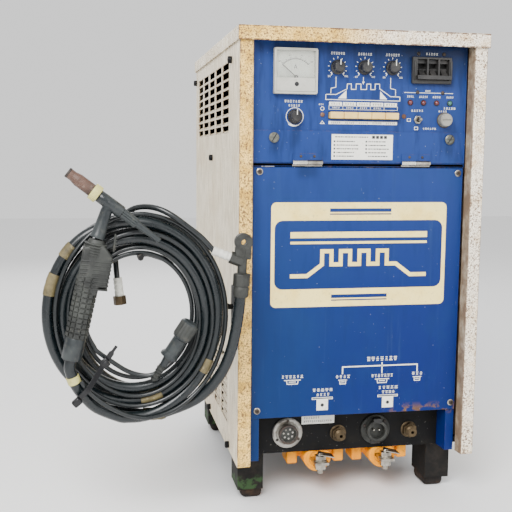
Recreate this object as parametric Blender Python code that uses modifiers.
"""TIG welding machine with its torch and coiled lead, one object for each piece.

Lengths are in millimetres, turned to metres by MM. Cabinet coordinates: X to the
right and Y to the back from the centre of the covers' front faces, Z up from the
floor. Everything hangs on one empty, which puts the middle of the object's
outline over the world origin.
"""
import math

import bmesh
import bpy
from mathutils import Matrix, Vector

MM = 0.001
GAP = 0.3                      # between pieces that touch

# ---- driving dimensions -------------------------------------------------
CABINET_X = 123.5              # cabinet centre from the middle of the outline
CABINET_Y = -205.5             # front faces of the covers, from the same point
WIDTH = 380.0                  # over the top cover
COVER_WIDTH = 375.0            # over the two side covers
COVER_DEPTH = 498.5
SHEET = 1.2
FLOOR_GAP = 76.0               # floor to the covers' lower edge
BODY_HEIGHT = 643.2            # covers' lower edge to the top
SKIRT = 20.6                   # edge of the top cover
FLANGE = 20.8                  # front flange of a side cover, and its return
LID_OVERHANG = 3.5
PANEL_Y = 20.8                 # front of the blue panels
PANEL_SHEET = 1.5
PANEL_HALF = 164.0
LOWER_COVER = (67.0, 444.5)    # heights above the covers' lower edge
FLAP = (452.0, 498.0)
FLAP_AXIS = (17.2, 451.6)      # Y and height of the flap's hinge line
CONNECTOR_Y = 54.8             # front of the black connector panel
GRILLE_COLUMNS = 5
GRILLE_ROWS = 8
GRILLE_PITCH = (74.7, 13.6)
SLOT = (62.0, 10.4)
FOOT = (40.5, 58.0)            # width and depth of a foot
FOOT_X = 155.3
FOOT_Y = (63.0, 397.0)

METER = (-103.0, 582.5, 64.0, 65.0)      # centre X, centre height, width, height
NEEDLE_AXIS = (-102.0, 574.5)
BREAKER = (75.0, 569.5, 62.0, 39.0)      # left, bottom, width, height
BREAKER_AXIS = (25.0, 590.0)
KNOBS = {"knob_upper_left": (-38.5, 590.5), "knob_upper_middle": (2.9, 591.0),
         "knob_upper_right": (45.7, 591.5), "knob_lower_left": (-102.0, 518.0)}
KNOB_R = 10.7
KEYS = 5
KEY_PITCH = 21.2
KEYS_LEFT = -50.6
KEY_BOTTOM = 516.2
TOGGLE = (87.3, 516.6)
FUSE = (129.4, 516.6)
FLAP_SCREWS = {"flap_screw_left": -133.0, "flap_screw_right": 138.5}
FLAP_SCREW_H = 487.5
HINGES = {"hinge_left": -82.4, "hinge_right": 85.4}
HINGE_LENGTH = 45.0

SOCKETS = {"remote_receptacle": (-99.0, 32.0), "torch_switch_receptacle": (44.5, 30.5)}
OUTLETS = {"gas_outlet": (-16.5, 27.0), "water_outlet": (101.0, 27.0)}
TERMINALS = {"left": -48.5, "right": 58.5}

FAN = (0.0, 430.0, 80.0)       # X, height and radius of the fan opening

# the coiled lead, in a plane that faces the front, and the torch before it
COIL_CENTRE = (-332.0, -30.0, 318.0)
COIL_BAND = (74.0, 131.0)      # inner and outer radius across
COIL_TALL = 1.15               # its height over its width, as it hangs
COIL_DEPTH = 42.0
LEAD_R = 7.8
HOSE_R = 4.0
SWITCH_R = 3.2
TORCH_Y = -74.0

PALETTE = {
    "cover_cream": ((0.66, 0.60, 0.47), 0.55, 0.0),
    "panel_blue": ((0.035, 0.13, 0.42), 0.45, 0.0),
    "panel_black": ((0.02, 0.02, 0.022), 0.6, 0.0),
    "zinc": ((0.55, 0.54, 0.50), 0.4, 1.0),
    "nickel": ((0.66, 0.63, 0.57), 0.3, 1.0),
    "brass": ((0.50, 0.38, 0.20), 0.45, 1.0),
    "orange": ((0.85, 0.36, 0.03), 0.5, 0.0),
    "rubber": ((0.025, 0.024, 0.022), 0.85, 0.0),
    "lead_rubber": ((0.045, 0.05, 0.05), 0.6, 0.0),
    "knob_grey": ((0.05, 0.05, 0.055), 0.5, 0.0),
    "key_cream": ((0.80, 0.65, 0.36), 0.45, 0.0),
    "meter_white": ((0.75, 0.73, 0.66), 0.4, 0.0),
    "breaker_grey": ((0.07, 0.06, 0.055), 0.5, 0.0),
    "light_grey": ((0.45, 0.44, 0.42), 0.45, 0.0),
    "ceramic_brown": ((0.20, 0.12, 0.09), 0.6, 0.0),
    "board_green": ((0.03, 0.16, 0.07), 0.5, 0.0),
    "core_steel": ((0.22, 0.20, 0.19), 0.6, 0.6),
}


def clear_scene():
    for item in list(bpy.data.objects):
        bpy.data.objects.remove(item, do_unlink=True)


def new_collection(name):
    made = bpy.data.collections.new(name)
    bpy.context.scene.collection.children.link(made)
    return made


clear_scene()
PARTS = new_collection("tig_welding_machine")
CUTTERS = new_collection("tig_welding_machine_cutters")
ROOT = bpy.data.objects.new("cabinet_frame", None)
ROOT.location = (CABINET_X * MM, CABINET_Y * MM, 0.0)
PARTS.objects.link(ROOT)


# ---- small helpers --------------------------------------------------------
def level(height):
    """Height above the floor of a height above the covers' lower edge."""
    return FLOOR_GAP + height


def vec(point):
    return Vector(point) * MM


def finish(item, look):
    """Puts a piece in the parts collection, or a helper among the cutters."""
    item.parent = ROOT
    if look is None:
        CUTTERS.objects.link(item)
        item.hide_render = True
        item.display_type = "WIRE"
        return item
    PARTS.objects.link(item)
    colour, roughness, metallic = PALETTE[look]
    made = bpy.data.materials.new(item.name + "_finish")
    made.use_nodes = True
    shader = made.node_tree.nodes["Principled BSDF"]
    shader.inputs["Base Color"].default_value = (*colour, 1.0)
    shader.inputs["Roughness"].default_value = roughness
    shader.inputs["Metallic"].default_value = metallic
    item.data.materials.append(made)
    return item


def from_bmesh(name, bm, look, place=(0, 0, 0)):
    mesh = bpy.data.meshes.new(name)
    bm.to_mesh(mesh)
    bm.free()
    item = bpy.data.objects.new(name, mesh)
    item.location = vec(place)
    return finish(item, look)


def box(name, low, high, look=None, origin=None):
    """A block between two corners; origin is where its axis lies."""
    low, high = Vector(low), Vector(high)
    place = (low + high) / 2 if origin is None else Vector(origin)
    bm = bmesh.new()
    bmesh.ops.create_cube(bm, size=1.0)
    bmesh.ops.scale(bm, vec=(high - low) * MM, verts=bm.verts)
    bmesh.ops.translate(bm, vec=((low + high) / 2 - place) * MM, verts=bm.verts)
    return from_bmesh(name, bm, look, place)


def boxes(name, corners):
    """One cutter made of several separate blocks."""
    bm = bmesh.new()
    for low, high in corners:
        low, high = Vector(low), Vector(high)
        made = bmesh.ops.create_cube(bm, size=1.0)["verts"]
        bmesh.ops.scale(bm, vec=(high - low) * MM, verts=made)
        bmesh.ops.translate(bm, vec=(low + high) / 2 * MM, verts=made)
    return from_bmesh(name, bm, None)


def aim(item, direction):
    item.rotation_euler = Vector(direction).to_track_quat("Z", "Y").to_euler()


def rod(name, start, end, radius, look=None, sides=24, tip=None):
    """A cylinder or cone from start to end, its origin at the start."""
    start, end = Vector(start), Vector(end)
    bm = bmesh.new()
    depth = (end - start).length * MM
    bmesh.ops.create_cone(bm, cap_ends=True, segments=sides, radius1=radius * MM,
                          radius2=(radius if tip is None else tip) * MM, depth=depth)
    bmesh.ops.translate(bm, vec=(0, 0, depth / 2), verts=bm.verts)
    item = from_bmesh(name, bm, look, start)
    aim(item, end - start)
    if sides > 8:
        item.data.shade_smooth()
        item.data.set_sharp_from_angle(angle=math.radians(35))
    return item


def turned(name, profile, place, direction, look=None, steps=32, hollow=False):
    """A profile of (radius, height) points turned about a line.

    It runs from the far end down the outer side; a hollow one comes back up
    its inner side.
    """
    mesh = bpy.data.meshes.new(name)
    count = len(profile)
    edges = [(i, i + 1) for i in range(count - 1)]
    if hollow:
        edges.append((count - 1, 0))
    mesh.from_pydata([(r * MM, 0.0, h * MM) for r, h in profile], edges, [])
    item = bpy.data.objects.new(name, mesh)
    item.location = vec(place)
    aim(item, direction)
    screw = item.modifiers.new("turn", "SCREW")
    screw.steps = steps
    screw.render_steps = steps
    screw.use_merge_vertices = True
    screw.merge_threshold = 0.0001 * 0.5
    screw.use_smooth_shade = True
    return finish(item, look)


def bevel(item, width, segments=2):
    made = item.modifiers.new("edges", "BEVEL")
    made.width = width * MM
    made.segments = segments
    made.limit_method = "ANGLE"
    return item


def combine(item, helpers, operation):
    for helper in helpers:
        made = item.modifiers.new(helper.name, "BOOLEAN")
        made.operation = operation
        made.object = helper
    return item


def cut(item, *helpers):
    return combine(item, helpers, "DIFFERENCE")


def join(item, *helpers):
    return combine(item, helpers, "UNION")


def rounded_path(points, radius, steps=3):
    """A path of straight runs whose inner corners are arcs."""
    points = [Vector(p) for p in points]
    out = [points[0]]
    for before, corner, after in zip(points, points[1:], points[2:]):
        a = (before - corner).normalized()
        b = (after - corner).normalized()
        half = a.angle(b) / 2
        reach = radius / math.tan(half)
        middle = corner + (a + b).normalized() * (radius / math.sin(half))
        first = corner + a * reach - middle
        last = corner + b * reach - middle
        for i in range(steps + 1):
            out.append(middle + first.slerp(last, i / steps))
    out.append(points[-1])
    return out


def bent_sheet(name, path, bottom, top, thickness, look, radius=2.0):
    """A sheet folded along upright bends; it thickens to the left of its path."""
    bm = bmesh.new()
    flat = [Vector((*p, 0.0)) for p in path]
    path = rounded_path(flat, radius)
    low = [bm.verts.new(vec((p.x, p.y, bottom))) for p in path]
    high = [bm.verts.new(vec((p.x, p.y, top))) for p in path]
    for i in range(len(path) - 1):
        bm.faces.new((low[i], low[i + 1], high[i + 1], high[i]))
    item = from_bmesh(name, bm, look)
    shell = item.modifiers.new("sheet", "SOLIDIFY")
    shell.thickness = thickness * MM
    shell.offset = -1.0
    shell.use_even_offset = True
    return item


def smooth_route(points, spacing):
    """Points at an even spacing along a smooth curve through a hand-laid route."""
    points = [Vector(p) for p in points]
    ends = [2 * points[0] - points[1]] + points + [2 * points[-1] - points[-2]]
    fine = []
    for i in range(1, len(ends) - 2):
        p0, p1, p2, p3 = ends[i - 1:i + 3]
        for k in range(24):
            t = k / 24
            fine.append(0.5 * (2 * p1 + (p2 - p0) * t + (2 * p0 - 5 * p1 + 4 * p2 - p3) * t * t
                               + (3 * p1 - p0 - 3 * p2 + p3) * t ** 3))
    fine.append(points[-1])
    length = sum((b - a).length for a, b in zip(fine, fine[1:]))
    count = max(3, round(length / spacing))
    out = [fine[0]]
    run = 0.0
    for a, b in zip(fine, fine[1:]):
        step = (b - a).length
        while run + step >= len(out) * length / count and len(out) < count:
            out.append(a.lerp(b, (len(out) * length / count - run) / step))
        run += step
    out.append(fine[-1])
    return out


def tube(name, points, radius, look, resolution=2):
    """A round bar or a cord along points."""
    curve = bpy.data.curves.new(name, "CURVE")
    curve.dimensions = "3D"
    curve.bevel_depth = radius * MM
    curve.bevel_resolution = resolution
    curve.use_fill_caps = True
    line = curve.splines.new("POLY")
    line.points.add(len(points) - 1)
    for made, point in zip(line.points, points):
        made.co = (*vec(point), 1.0)
    item = bpy.data.objects.new(name, curve)
    return finish(item, look)


def as_mesh(item):
    """The same tube as a closed mesh, which can be joined or cut."""
    bpy.context.view_layer.update()
    seen = item.evaluated_get(bpy.context.evaluated_depsgraph_get())
    mesh = bpy.data.meshes.new_from_object(seen)
    bm = bmesh.new()
    bm.from_mesh(mesh)
    bmesh.ops.remove_doubles(bm, verts=bm.verts, dist=0.00001)
    bm.to_mesh(mesh)
    bm.free()
    made = bpy.data.objects.new(item.name + "_mesh", mesh)
    made.parent = ROOT
    name = item.name
    home = item.users_collection[0]
    home.objects.link(made)
    made.hide_render = item.hide_render
    made.display_type = item.display_type
    bpy.data.objects.remove(item, do_unlink=True)
    made.name = name
    return made


def build_base():
    """A folded pan whose underside carries the feet and the output terminals."""
    half = COVER_WIDTH / 2 - SHEET - 1.5
    back = COVER_DEPTH - 10.0
    front = CONNECTOR_Y + 2.0 + GAP
    bottom = FLOOR_GAP
    pan = box("base_pan", (-half, front, bottom), (half, back, bottom + 9.0), "panel_black")
    hollow = box("base_pan_hollow", (-half + 2.0, front + 2.0, bottom + 2.0),
                 (half - 2.0, back - 2.0, bottom + 40.0))
    cut(pan, hollow)
    for name, side, y in (("foot_front_left", -1, FOOT_Y[0]), ("foot_front_right", 1, FOOT_Y[0]),
                          ("foot_rear_left", -1, FOOT_Y[1]), ("foot_rear_right", 1, FOOT_Y[1])):
        build_foot(name, side, y)


def build_foot(name, side, front):
    """A boxed steel foot with a rounded rubber sole, narrower than the box."""
    width, depth = FOOT
    x = side * FOOT_X
    sole = 16.0
    foot = box(name, (x - width / 2, front, sole), (x + width / 2, front + depth, FLOOR_GAP - GAP),
               "rubber")
    middle = x - side * 3.0
    pad = box(name + "_sole", (middle - width * 0.42, front + 4.0, 0.0),
              (middle + width * 0.42, front + depth - 4.0, sole + 6.0))
    bevel(pad, 8.0, 3)
    join(foot, pad)


def build_front_frame():
    """Two folded uprights with cross rails between them."""
    inner = 149.0
    outer = 165.0
    front = PANEL_Y + PANEL_SHEET + GAP
    uprights = []
    for side, name in ((-1, "front_frame"), (1, "front_frame_right")):
        path = [(side * outer, 44.0), (side * outer, front), (side * inner, front),
                (side * inner, CONNECTOR_Y - GAP)]
        if side > 0:
            path.reverse()
        look = "panel_blue" if side < 0 else None
        uprights.append(bent_sheet(name, path, FLOOR_GAP, level(BODY_HEIGHT - 8.0), 1.6, look))
    frame, right = uprights
    rails = []
    for index, height in enumerate((BODY_HEIGHT - 30.0, 428.0, 72.0)):
        rails.append(box(f"front_rail_{index}", (-inner - 0.8, front + 3.0, level(height)),
                         (inner + 0.8, front + 11.0, level(height) + 16.0)))
    join(frame, *rails, right)


def build_side_covers():
    """Folded covers with two grilles of slots each."""
    half = COVER_WIDTH / 2
    inner = half - FLANGE
    for side, name in ((-1, "left_side_cover"), (1, "right_side_cover")):
        path = [(side * inner, FLANGE - 1.0), (side * inner, 0.0), (side * half, 0.0),
                (side * half, COVER_DEPTH), (side * inner, COVER_DEPTH)]
        if side > 0:
            path.reverse()
        cover = bent_sheet(name, path, FLOOR_GAP, level(BODY_HEIGHT - SHEET - 1.0), SHEET,
                           "cover_cream", 2.4)
        slots = []
        for first_row in (501.0, 46.0):
            for column in range(GRILLE_COLUMNS):
                for row in range(GRILLE_ROWS):
                    y = 126.3 + column * GRILLE_PITCH[0]
                    z = level(first_row + row * GRILLE_PITCH[1])
                    slots.append(((side * half - 6.0, y - SLOT[0] / 2, z - SLOT[1] / 2),
                                  (side * half + 6.0, y + SLOT[0] / 2, z + SLOT[1] / 2)))
        cut(cover, boxes(name + "_slots", slots))


def build_top_cover():
    """A shallow pan turned upside down over the side covers."""
    bm = bmesh.new()
    bmesh.ops.create_cube(bm, size=1.0)
    depth = COVER_DEPTH + 2 * LID_OVERHANG
    bmesh.ops.scale(bm, vec=Vector((WIDTH, depth, SKIRT)) * MM, verts=bm.verts)
    floor = [face for face in bm.faces if face.normal.z < -0.9]
    bmesh.ops.delete(bm, geom=floor, context="FACES_ONLY")
    place = (0.0, COVER_DEPTH / 2, level(BODY_HEIGHT - SKIRT / 2))
    lid = from_bmesh("top_cover", bm, "cover_cream", place)
    bevel(lid, 1.8, 2)
    shell = lid.modifiers.new("sheet", "SOLIDIFY")
    shell.thickness = SHEET * MM
    shell.offset = -1.0
    shell.use_even_offset = True


def build_rear():
    """Rear panel with a round field of fan slots, a fan and its shroud."""
    x, height, radius = FAN
    y = COVER_DEPTH - 9.0
    panel = box("rear_panel", (-PANEL_HALF - 1.0, y, level(3.0)),
                (PANEL_HALF + 1.0, y + SHEET, level(BODY_HEIGHT - 4.0)), "cover_cream")
    slots = []
    rows = 11
    pitch = 2 * radius / rows
    for row in range(rows):
        z = (row - (rows - 1) / 2) * pitch
        reach = math.sqrt(radius ** 2 - z ** 2) - 3.0
        for low, high in ((-reach, -2.5), (2.5, reach)):
            slots.append(((x + low, y - 4.0, level(height) + z - pitch * 0.32),
                          (x + high, y + 5.0, level(height) + z + pitch * 0.32)))
    cut(panel, boxes("fan_slots", slots))

    front = y - 36.0
    back = y - GAP
    size = radius + 9.0
    centre = level(height)
    shroud = box("fan_shroud", (x - size, front, centre - size), (x + size, back, centre + size),
                 "panel_black")
    throat = rod("fan_throat", (x, front - 5.0, centre), (x, back + 5.0, centre), radius, sides=36)
    cut(shroud, throat)
    motor = rod("fan_motor", (x, front - 14.0, centre), (x, front + 8.0, centre), 24.0, sides=24)
    arms = [box("fan_arm_flat", (x - radius - 4.0, front + 0.5, centre - 4.0),
                (x + radius + 4.0, front + 4.0, centre + 4.0)),
            box("fan_arm_up", (x - 4.0, front + 0.8, centre - radius - 4.0),
                (x + 4.0, front + 4.4, centre + radius + 4.0))]
    spindle = rod("fan_spindle", (x, front + 4.0, centre), (x, front + 20.0, centre), 3.0, sides=16)
    join(shroud, motor, *arms, spindle)

    hub_front = front + 8.0 + 2.0
    rotor = rod("fan_rotor", (x, hub_front, centre), (x, hub_front + 18.0, centre), 22.0,
                "knob_grey", sides=28)
    blades = []
    for index in range(5):
        angle = 2 * math.pi * index / 5
        blade = box(f"fan_blade_{index}", (18.0, -12.0, -1.0), (radius - 4.0, 12.0, 1.0))
        spin = Matrix.Rotation(angle, 4, "Y")
        pitch_turn = Matrix.Rotation(math.radians(58), 4, "X")
        centre_out = spin @ Vector(((18.0 + radius - 4.0) / 2, 0.0, 0.0))
        blade.rotation_euler = (spin @ pitch_turn).to_euler()
        blade.location = vec((x + centre_out.x, hub_front + 9.0, centre + centre_out.z))
        blades.append(blade)
    join(rotor, *blades)
    cut(rotor, rod("fan_bore", (x, hub_front - 1.0, centre), (x, hub_front + 12.0, centre), 3.4,
                   sides=16))


def build_inside():
    """The power transformer on the pan, and the board behind the controls."""
    pan_top = FLOOR_GAP + 2.0 + GAP
    core = box("main_transformer", (-80.0, 250.0, pan_top), (80.0, 380.0, pan_top + 125.0),
               "core_steel")
    winding = box("transformer_winding", (-55.0, 236.0, pan_top + 22.0),
                  (55.0, 394.0, pan_top + 103.0))
    bevel(winding, 10.0, 2)
    join(core, winding)
    board = box("control_board", (-150.0, 58.5, level(505.0)), (150.0, 60.5, level(620.0)),
                "board_green")
    block = box("key_block", (KEYS_LEFT - 4.0, 32.0, level(KEY_BOTTOM - 6.0)),
                (KEYS_LEFT + KEYS * KEY_PITCH + 4.0, 59.0, level(KEY_BOTTOM + 15.0)))
    join(board, block)
    for index in range(KEYS):
        x = KEYS_LEFT + (index + 0.5) * KEY_PITCH
        z = level(KEY_BOTTOM + 4.7)
        cut(board, rod(f"key_guide_{index}", (x, 28.0, z), (x, 50.0, z), 2.2, sides=12))


# ---- front -----------------------------------------------------------------
def build_connector_panel():
    panel = box("connector_panel", (-PANEL_HALF, CONNECTOR_Y, FLOOR_GAP),
                (PANEL_HALF, CONNECTOR_Y + 2.0, level(88.0)), "panel_black")
    for name, (x, height) in SOCKETS.items():
        cut(panel, rod(name + "_hole", (x, 40.0, level(height)), (x, 70.0, level(height)), 16.0))
    for name, (x, height) in OUTLETS.items():
        cut(panel, rod(name + "_hole", (x, 40.0, level(height)), (x, 70.0, level(height)), 6.6,
                       sides=16))


def build_sockets():
    """Round flanged sockets, each with a collar and a recessed contact face."""
    looks = {"remote_receptacle": "zinc", "torch_switch_receptacle": "breaker_grey"}
    back = CONNECTOR_Y - GAP
    for name, (x, height) in SOCKETS.items():
        profile = [(0.0, 3.0), (12.4, 3.0), (12.4, 11.0), (14.6, 11.0), (15.6, 10.0),
                   (15.6, 3.4), (23.4, 3.4), (24.2, 2.6), (24.2, 0.0), (15.4, 0.0),
                   (15.4, -20.0), (0.0, -20.0)]
        socket = turned(name, profile, (x, back, level(height)), (0, -1, 0), looks[name],
                        steps=24)
        if name.startswith("torch"):
            key = box(name + "_keyway", (x - 6.5, back - 13.0, level(height + 15.0)),
                      (x + 6.5, back - 2.0, level(height + 20.0)))
            join(socket, bevel(key, 1.0, 1))


def build_outlets():
    """Hexagon hose fittings with a hollow spigot."""
    for name, (x, height) in OUTLETS.items():
        z = level(height)
        back = CONNECTOR_Y - GAP
        nut = rod(name, (x, back, z), (x, back - 8.0, z), 12.0, "brass", sides=6)
        spigot = rod(name + "_spigot", (x, back - 4.0, z), (x, back - 19.0, z), 7.2)
        stem = rod(name + "_stem", (x, back - 4.0, z), (x, back + 16.0, z), 6.2, sides=16)
        bore = rod(name + "_bore", (x, back - 22.0, z), (x, back + 20.0, z), 2.6, sides=16)
        join(nut, spigot, stem)
        cut(nut, bore)


def build_terminals():
    """Orange insulators under the pan, each with a copper bar and its bolt."""
    for side, x in TERMINALS.items():
        top = FLOOR_GAP - GAP
        low = level(-25.5)
        back = 108.0
        block = box("terminal_insulator_" + side, (x - 46.5, 76.0, level(-15.0)),
                    (x + 46.5, back, top), "orange")
        ears = [box(f"ear_{side}_{sign}", (x + sign * 38.0 - 8.5, 70.0, low),
                    (x + sign * 38.0 + 8.5, back - 1.0, top - 0.5)) for sign in (-1, 1)]
        boss = rod("boss_" + side, (x, 58.0, level(-14.0)), (x, back - 2.0, level(-14.0)), 19.0,
                   sides=32)
        boss.scale = (1.16, 1.0, 1.0)
        slot = box("bar_slot_" + side, (x - 11.4, 50.0, level(-16.0)),
                   (x + 11.4, 90.0, level(-11.0)))
        for ear in ears:
            bevel(ear, 3.0, 2)
        join(block, *ears, boss)
        above = box("pan_side_" + side, (x - 50.0, 50.0, top), (x + 50.0, back + 5.0, top + 30.0))
        cut(block, slot, above)
        bar = box("output_terminal_" + side, (x - 11.0, 28.0, level(-15.5)),
                  (x + 11.0, 89.0, level(-11.5)), "zinc")
        head = rod("bolt_head_" + side, (x, 41.0, level(-12.0)), (x, 41.0, level(-3.0)), 9.2,
                   sides=6)
        washer = rod("bolt_washer_" + side, (x, 41.0, level(-12.0)), (x, 41.0, level(-9.8)), 10.2)
        shank = rod("bolt_shank_" + side, (x, 41.0, level(-31.0)), (x, 41.0, level(-8.0)), 5.0,
                    sides=16)
        nut = rod("bolt_nut_" + side, (x, 41.0, level(-24.5)), (x, 41.0, level(-15.0)), 9.2,
                  sides=6)
        join(bar, washer, head, nut, shank)


def build_panels():
    """The control panel with its cut-outs, and the screwed-on lower cover."""
    bottom = level(446.0)
    panel = box("control_panel", (-PANEL_HALF, PANEL_Y, bottom),
                (PANEL_HALF, PANEL_Y + PANEL_SHEET, level(BODY_HEIGHT - 6.0)), "panel_blue")
    y_low, y_high = PANEL_Y - 5.0, PANEL_Y + 8.0
    tray_low, tray_high = level(FLAP[0] + 8.0), level(FLAP[0] + 28.0)
    tray_back = PANEL_Y + 14.0
    tray = box("tray_shell", (-122.0, PANEL_Y + 0.4, tray_low - SHEET),
               (122.0, tray_back, tray_high + SHEET))
    join(panel, tray)
    cut(panel, box("tray_hollow", (-120.8, y_low, tray_low),
                   (120.8, tray_back - SHEET, tray_high)))
    x, height, width, tall = METER
    cut(panel, rod("meter_hole", (x, y_low, level(height)), (x, y_high, level(height)), 27.5))
    left, low, width, tall = BREAKER
    cut(panel, box("breaker_hole", (left + 3.0, y_low, level(low + 3.0)),
                   (left + width - 3.0, y_high, level(low + tall - 3.0))))
    cut(panel, box("key_hole", (KEYS_LEFT - 0.8, y_low, level(KEY_BOTTOM - 0.7)),
                   (KEYS_LEFT + KEYS * KEY_PITCH + 0.8, y_high, level(KEY_BOTTOM + 10.1))))
    for name, (x, height) in KNOBS.items():
        cut(panel, rod(name + "_hole", (x, y_low, level(height)), (x, y_high, level(height)),
                       3.7, sides=12))
    x, height = TOGGLE
    cut(panel, rod("toggle_hole", (x, y_low, level(height)), (x, y_high, level(height)), 4.4,
                   sides=16))
    x, height = FUSE
    cut(panel, rod("fuse_hole", (x, y_low, level(height)), (x, y_high, level(height)), 6.6,
                   sides=16))
    for name, x in FLAP_SCREWS.items():
        z = level(FLAP_SCREW_H)
        cut(panel, rod(name + "_hole", (x, y_low, z), (x, y_high, z), 4.6, sides=16))

    cover = box("lower_front_cover", (-163.0, PANEL_Y - 0.3, level(LOWER_COVER[0])),
                (163.0, PANEL_Y + PANEL_SHEET - 0.3, level(LOWER_COVER[1])), "panel_blue")
    bevel(cover, 0.5, 1)


def build_flap():
    """A drop-down door on two butt hinges, with two captive coin screws."""
    axis_y, axis_h = FLAP_AXIS
    axis_z = level(axis_h)
    back = PANEL_Y - 0.4
    front = back - 1.5
    flap = box("flap_door", (-163.5, front, level(FLAP[0])), (163.5, back, level(FLAP[1])),
               "panel_blue", origin=(0.0, axis_y, axis_z))
    knuckle_r = 3.0
    for name, x in HINGES.items():
        half = HINGE_LENGTH / 2
        moving = rod(name + "_moving", (x - half, axis_y, axis_z), (x - 0.3, axis_y, axis_z),
                     knuckle_r, sides=16)
        leaf = box(name + "_flap_leaf", (x - half, front - 0.9, axis_z - 0.2),
                   (x + half, front + 0.3, axis_z + 13.0))
        room = box(name + "_room", (x, front - 4.0, axis_z - 4.0),
                   (x + half + 0.5, back + 1.0, axis_z + knuckle_r + 0.6))
        cut(join(flap, leaf), room)
        join(flap, moving)
        cut(flap, rod(name + "_bore", (x - half - 1.0, axis_y, axis_z),
                      (x + 1.0, axis_y, axis_z), 1.5, sides=12))
        fixed = rod(name, (x + 0.3, axis_y, axis_z), (x + half, axis_y, axis_z), knuckle_r,
                    "nickel", sides=16)
        web = box(name + "_web", (x + 0.4, axis_y + 1.2, axis_z - 4.2),
                  (x + half - 0.1, PANEL_Y - GAP - 0.05, axis_z))
        foot = box(name + "_leaf", (x - half, axis_y + 2.3, axis_z - 5.3),
                   (x + half, PANEL_Y - GAP, axis_z - 3.0))
        pin = rod(name + "_pin", (x - half + 0.5, axis_y, axis_z), (x + 1.0, axis_y, axis_z), 1.15,
                  sides=12)
        join(fixed, web, foot, pin)
    for name, x in FLAP_SCREWS.items():
        z = level(FLAP_SCREW_H)
        cut(flap, rod(name + "_eye", (x, front - 3.0, z), (x, back + 3.0, z), 3.3, sides=16))
        profile = [(0.0, 3.3), (5.6, 3.3), (7.5, 2.0), (7.5, 0.0), (2.6, 0.0), (2.6, -6.0),
                   (0.0, -6.0)]
        screw = turned(name, profile, (x, front - GAP, z), (0, -1, 0), "nickel", steps=16)
        cut(screw, box(name + "_slot", (x - 9.0, front - 6.0, z - 0.9),
                       (x + 9.0, front - 2.3, z + 0.9)))


def build_meter():
    """A square panel meter: a case with a dial recess, and the needle in it."""
    x, height, width, tall = METER
    z = level(height)
    back = PANEL_Y - GAP
    front = back - 10.0
    case = box("meter_case", (x - width / 2, front, z - tall / 2),
               (x + width / 2, back, z + tall / 2), "meter_white")
    bevel(case, 1.2, 2)
    cut(case, box("meter_recess", (x - width / 2 + 3.2, front - 3.0, z - tall / 2 + 3.2),
                  (x + width / 2 - 3.2, back - 2.0, z + tall / 2 - 3.2)))
    can = rod("meter_can", (x, back - 1.0, z), (x, back + 26.0, z), 27.0)
    needle_x, needle_h = NEEDLE_AXIS
    post = rod("meter_post", (needle_x, back - 1.0, level(needle_h)),
               (needle_x, back - 7.0, level(needle_h)), 1.0, sides=12)
    join(case, can, post)

    reach = 27.0
    tilt = math.radians(140)
    tip = (needle_x + reach * math.cos(tilt), level(needle_h) + reach * math.sin(tilt))
    needle = rod("meter_needle", (needle_x, back - 4.0, level(needle_h)),
                 (needle_x, back - 6.5, level(needle_h)), 2.6, "knob_grey", sides=16)
    blade = box("needle_blade", (0.0, -0.35, -0.45), (reach, 0.35, 0.45))
    blade.location = vec(((needle_x + tip[0]) / 2, back - 5.2, (level(needle_h) + tip[1]) / 2))
    blade.rotation_euler = (0.0, -tilt, 0.0)
    join(needle, blade)
    cut(needle, rod("needle_eye", (needle_x, back - 3.0, level(needle_h)),
                    (needle_x, back - 8.0, level(needle_h)), 1.3, sides=12))


def build_breaker():
    """A three-pole breaker, its three levers tied by one bar."""
    left, low, width, tall = BREAKER
    front, back = PANEL_Y - 6.5, PANEL_Y - GAP
    body = box("breaker_body", (left, front, level(low)), (left + width, back, level(low + tall)),
               "breaker_grey")
    bevel(body, 1.0, 1)
    rear = box("breaker_rear", (left + 3.4, back - 1.0, level(low + 3.4)),
               (left + width - 3.4, 54.0, level(low + tall - 3.4)))
    join(body, rear)
    axis_y, axis_h = BREAKER_AXIS
    axis_z = level(axis_h)
    lane = 15.2
    pitch = 17.6
    first = left + width / 2 - pitch + 1.6
    for index in range(3):
        x = first + index * pitch
        cut(body, box(f"breaker_window_{index}", (x - lane / 2, front - 2.0, axis_z - 15.5),
                      (x + lane / 2, axis_y + 6.5, axis_z + 15.5)))
    cut(body, rod("breaker_axle_way", (first - lane / 2 + 1.0, axis_y, axis_z),
                  (first + 2 * pitch + lane / 2 - 1.0, axis_y, axis_z), 3.4, sides=16))
    handle = rod("breaker_handle", (first - lane / 2 + 1.6, axis_y, axis_z),
                 (first + 2 * pitch + lane / 2 - 1.6, axis_y, axis_z), 3.0, "knob_grey", sides=16)
    turn = math.radians(40)
    reach = 17.5
    levers = []
    for index in range(3):
        x = first + index * pitch
        lever = box(f"breaker_lever_{index}", (-4.0, -reach / 2, -2.4), (4.0, reach / 2, 2.4))
        lever.rotation_euler = (turn, 0.0, 0.0)
        lever.location = vec((x, axis_y - reach / 2 * math.cos(turn),
                              axis_z - reach / 2 * math.sin(turn)))
        levers.append(lever)
    bar_y = axis_y - (reach + 0.5) * math.cos(turn)
    bar_z = axis_z - (reach + 0.5) * math.sin(turn)
    bar = box("breaker_bar", (first - 9.0, bar_y - 3.2, bar_z - 2.8),
              (first + 2 * pitch + 9.0, bar_y + 2.0, bar_z + 2.8))
    join(handle, *levers, bar)


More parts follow.
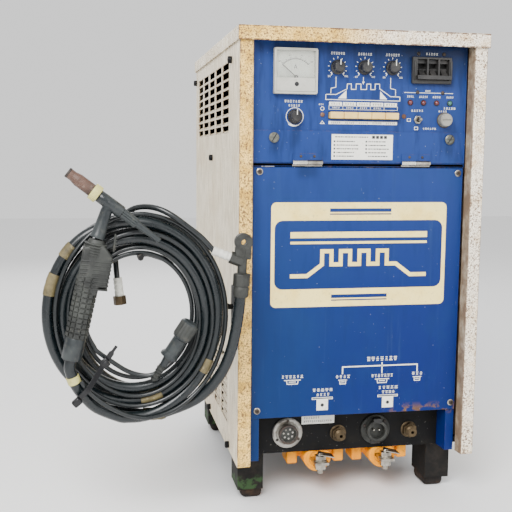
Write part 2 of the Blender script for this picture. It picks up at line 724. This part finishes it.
def build_controls():
    """Knobs, piano keys, the toggle lever and the fuse cap."""
    back = PANEL_Y - 0.4
    for name, (x, height) in KNOBS.items():
        profile = [(0.0, 15.0), (6.6, 15.0), (7.6, 14.0), (8.4, 4.0), (9.6, 3.0),
                   (KNOB_R, 1.6), (KNOB_R, 0.0), (3.0, 0.0), (3.0, -20.0), (0.0, -20.0)]
        knob = turned(name, profile, (x, back, level(height)), (0, -1, 0), "knob_grey", steps=20)
        pointer = box(name + "_pointer", (x - 0.9, back - 15.9, level(height) + 1.5),
                      (x + 0.9, back - 0.7, level(height) + 9.9))
        join(knob, pointer)
    for index in range(KEYS):
        x = KEYS_LEFT + index * KEY_PITCH
        z = level(KEY_BOTTOM)
        key = box(f"mode_key_{index + 1}", (x + 0.4, PANEL_Y - 8.5, z),
                  (x + KEY_PITCH - 0.4, PANEL_Y + 5.0, z + 9.4), "key_cream")
        bevel(key, 0.8, 2)
        stem = rod(f"mode_key_stem_{index + 1}", (x + KEY_PITCH / 2, PANEL_Y + 3.0, z + 4.7),
                   (x + KEY_PITCH / 2, 44.0, z + 4.7), 1.7, sides=12)
        join(key, stem)
    x, height = TOGGLE
    profile = [(0.0, 15.5), (2.0, 15.2), (2.9, 13.8), (2.7, 11.5), (1.5, 2.0), (2.6, 1.2),
               (3.0, 0.0), (2.6, -1.4), (1.4, -2.6), (0.0, -3.0)]
    turned("toggle_lever", profile, (x, PANEL_Y + 0.6, level(height)), (0, -1, 0), "nickel",
           steps=16)
    x, height = FUSE
    profile = [(0.0, 11.0), (8.6, 11.0), (9.6, 10.0), (10.2, 1.5), (10.5, 0.0), (6.0, 0.0),
               (6.0, -16.0), (0.0, -16.0)]
    cap = turned("fuse_cap", profile, (x, back, level(height)), (0, -1, 0), "light_grey", steps=20)
    cut(cap, box("fuse_cap_slot", (x - 7.0, back - 12.0, level(height) - 0.9),
                 (x + 7.0, back - 9.6, level(height) + 0.9)))


# ---- torch and lead ---------------------------------------------------------
def torch_point(x, z):
    return (x, TORCH_Y, z)


HEAD_TIP = torch_point(-424.5, 513.7)
HEAD_END = torch_point(-306.0, 422.8)
HANDLE_TOP = torch_point(-388.4, 427.0)
HANDLE_END = torch_point(-423.7, 267.4)
LEVER_PIVOT = torch_point(-367.4, 409.0)
PLUG_LINE = Vector((36.0, -8.0, 57.0)).normalized()


def along_head(distance):
    tip, end = Vector(HEAD_TIP), Vector(HEAD_END)
    return tip + (end - tip).normalized() * distance


def build_torch():
    """Nozzle, head with its neck, back cap, grip and trigger lever."""
    axis = Vector(HEAD_END) - Vector(HEAD_TIP)
    forward = -axis
    nozzle = [(6.8, 38.5), (6.8, 30.0), (8.5, 22.0), (8.5, 0.0), (5.0, 0.0), (5.0, 38.5)]
    turned("torch_nozzle", nozzle, along_head(38.5), forward, "ceramic_brown", steps=24,
           hollow=True)
    collar = 11.0
    body = [(0.0, collar), (11.2, collar), (11.2, 2.0), (8.2, 0.0), (8.2, -36.7), (0.0, -36.7)]
    head = turned("torch_body", body, along_head(38.5 + collar + GAP), forward, "rubber",
                  steps=24)
    top = along_head(66.0)
    low = Vector(HANDLE_TOP)
    neck = rod("torch_neck", top, top.lerp(low, 0.96), 7.3, sides=20)
    join(head, neck)
    start = along_head(87.0)
    cap = [(0.0, -62.0), (2.6, -62.0), (6.3, -24.0), (6.3, 0.0), (0.0, 0.0)]
    turned("torch_cap", [(r, -h) for r, h in cap], start, axis, "rubber", steps=20)

    line = Vector(HANDLE_END) - low
    length = line.length - GAP
    grip = [(0.0, length), (9.0, length), (13.5, length - 6.0), (15.0, length - 14.0),
            (15.4, 94.0), (14.0, 22.0), (13.6, 0.0), (0.0, 0.0)]
    handle = turned("torch_handle", grip, HANDLE_END, -line, "rubber", steps=24)
    centre = low + line.normalized() * 38.0
    housing = box("torch_switch_housing", (-17.0, -11.0, -25.0), (17.0, 11.0, 25.0))
    housing.location = vec(centre + Vector((9.0, 0.0, 0.0)))
    housing.rotation_euler = (-line).to_track_quat("Z", "Y").to_euler()
    bevel(housing, 4.0, 2)
    join(handle, housing)

    pivot = Vector(LEVER_PIVOT)
    blade = box("torch_lever", (-1.3, -6.0, 0.6), (1.3, 6.0, 24.0), "rubber", origin=(0, 0, 0))
    blade.location = vec(pivot + Vector((0.0, 0.0, 0.0)))
    blade.rotation_euler = (0.0, math.radians(8.0), 0.0)
    bevel(blade, 0.8, 1)


def build_hanger():
    """A bent round bar on a plate, which carries the coil on the left side."""
    x = -COVER_WIDTH / 2 - GAP
    plate = box("torch_hanger", (x - 3.0, 14.0, 285.0), (x, 44.0, 345.0), "zinc")
    bevel(plate, 1.0, 1)
    cx, cy, cz = COIL_CENTRE
    under = cz + COIL_BAND[0] * COIL_TALL - 6.0
    route = [(x - 1.5, 26.0, 315.0), (x - 14.0, 25.0, 317.0), (x - 34.0, 16.0, 342.0),
             (x - 62.0, 6.0, 380.0), (cx + 45.0, 1.0, under - 9.0), (cx + 16.0, 0.5, under + 0.5),
             (cx + 4.0, -6.0, under), (cx + 2.0, -22.0, under), (cx + 2.0, -44.0, under),
             (cx + 2.0, -55.0, under + 3.0)]
    bar = as_mesh(tube("torch_hanger_bar", smooth_route(route, 7.0), 4.0, None, 2))
    join(plate, bar)


def build_lead():
    """The coil as one turned ring, and the free ends that leave it."""
    inner, outer = COIL_BAND
    half = COIL_DEPTH / 2
    edge = 9.0
    profile = [(inner + edge, half), (outer - edge, half), (outer, half - edge),
               (outer, edge - half), (outer - edge, -half), (inner + edge, -half),
               (inner, edge - half), (inner, half - edge)]
    ring = turned("lead_coil", profile, COIL_CENTRE, (0, -1, 0), "lead_rubber", steps=40,
                  hollow=True)
    ring.rotation_euler = (math.radians(90), 0.0, 0.0)
    ring.scale = (1.0, COIL_TALL, 1.0)
    front = COIL_CENTRE[1] - half

    y = front - LEAD_R - 0.5
    line = (Vector(HANDLE_END) - Vector(HANDLE_TOP)).normalized()
    torch_lead = [Vector(HANDLE_END) + line * (2 * GAP), Vector(HANDLE_END) + line * 10.0,
                  (-423.5, -73.5, 246.0), (-417.0, -71.0, 229.0), (-405.0, -66.5, 211.0),
                  (-390.0, y, 195.0), (-371.0, y, 183.0)]
    tube("torch_lead", smooth_route(torch_lead, 9.0), LEAD_R, "lead_rubber")

    lug_lead = [(-262.0, y, 190.0), (-238.0, y, 209.0), (-219.0, y - 0.5, 236.0),
                (-207.0, y - 1.5, 268.0), (-200.0, y - 2.5, 304.0), (-195.2, y - 3.0, 344.0)]
    tube("lug_lead", smooth_route(lug_lead, 11.0), LEAD_R, "lead_rubber")
    spigot_end, spigot_line = build_lug(Vector(lug_lead[-1]))

    y = front - HOSE_R - 0.5
    hose = [spigot_end + spigot_line * GAP, spigot_end + spigot_line * 8.0,
            (-249.0, y - 1.0, 426.0), (-268.0, y, 441.0), (-287.0, y, 456.0), (-304.0, y, 465.5),
            (-320.0, y, 467.0), (-338.0, y, 461.0), (-352.0, y, 450.0)]
    tube("gas_hose", smooth_route(hose, 7.0), HOSE_R, "lead_rubber")

    y = COIL_CENTRE[1] + 14.0
    top = COIL_CENTRE[2] + COIL_TALL * math.sqrt(inner ** 2 - 30.0 ** 2) - 8.0
    tail = [(-362.0, y, top), (-362.6, y - 1.0, 383.0), (-361.5, y - 2.0, 369.0),
            (-360.6, y - 2.5, 363.3)]
    tube("gas_hose_tail", smooth_route(tail, 6.0), HOSE_R, "lead_rubber")
    build_hose_nut(Vector(tail[-1]))

    y = front - SWITCH_R - 0.6
    plug_end = Vector((-303.5, y - 6.0, 249.0))
    switch = [(-364.0, y, 253.0), (-348.0, y - 0.5, 243.0), (-330.0, y - 2.0, 237.5),
              (-316.0, y - 4.0, 238.0), plug_end - PLUG_LINE * 7.0, plug_end]
    tube("switch_cable", smooth_route(switch, 6.0), SWITCH_R, "lead_rubber")
    build_plug(plug_end)


def build_lug(end):
    """The power connector: sleeve, hexagon, body with an eye, and a side boss.

    Returns where the boss's hose spigot ends, and its direction.
    """
    base = end + Vector((0.4, 0.0, GAP * 2))
    up = Vector((0.045, 0.0, 1.0)).normalized()
    profile = [(0.0, 66.0), (6.5, 66.0), (6.5, 32.0), (9.6, 30.0), (9.6, 15.0), (7.6, 13.0),
               (7.2, 0.0), (0.0, 0.0)]
    lug = turned("power_lug", profile, base, up, "zinc", steps=20)
    eye_centre = base + up * 75.0
    eye = rod("lug_eye", eye_centre + Vector((0.0, 5.5, 0.0)), eye_centre - Vector((0.0, 5.5, 0.0)),
              12.0, sides=28)
    boss_start = base + up * 48.0
    side = Vector((-0.93, 0.06, 0.36)).normalized()
    boss = rod("lug_boss", boss_start, boss_start + side * 18.0, 8.6, sides=6)
    spigot_end = boss_start + side * 34.0
    spigot = rod("lug_spigot", boss_start, spigot_end, 4.6, sides=16)
    join(lug, eye, boss, spigot)
    cut(lug, rod("lug_hole", eye_centre + Vector((0.0, 9.0, 0.0)),
                 eye_centre - Vector((0.0, 9.0, 0.0)), 5.6))
    return spigot_end, side


def build_hose_nut(end):
    """The gas hose's ferrule and union nut, hanging down."""
    base = end + Vector((0.2, -0.1, -GAP * 2))
    down = Vector((0.10, -0.02, -1.0)).normalized()
    ferrule = rod("gas_hose_nut", base, base + down * 22.0, 4.6, "brass", sides=20, tip=5.6)
    nut = rod("hose_nut_hexagon", base + down * 21.0, base + down * 33.0, 9.0, sides=6)
    bore = rod("hose_nut_bore", base + down * 25.0, base + down * 36.0, 5.4, sides=16)
    cut(join(ferrule, nut), bore)


def build_plug(end):
    """The trigger cable's plug, leaning on the coil."""
    base = end + PLUG_LINE * (GAP * 2)
    profile = [(0.0, 74.0), (10.0, 74.0), (12.2, 72.0), (12.2, 48.0), (9.6, 46.0), (9.6, 24.0),
               (12.6, 20.0), (12.6, 16.5), (6.2, 15.0), (4.4, 0.0), (0.0, 0.0)]
    turned("switch_plug", profile, base, PLUG_LINE, "rubber", steps=24)


build_base()
build_front_frame()
build_side_covers()
build_top_cover()
build_rear()
build_inside()
build_connector_panel()
build_sockets()
build_outlets()
build_terminals()
build_panels()
build_flap()
build_meter()
build_breaker()
build_controls()
build_torch()
build_hanger()
build_lead()
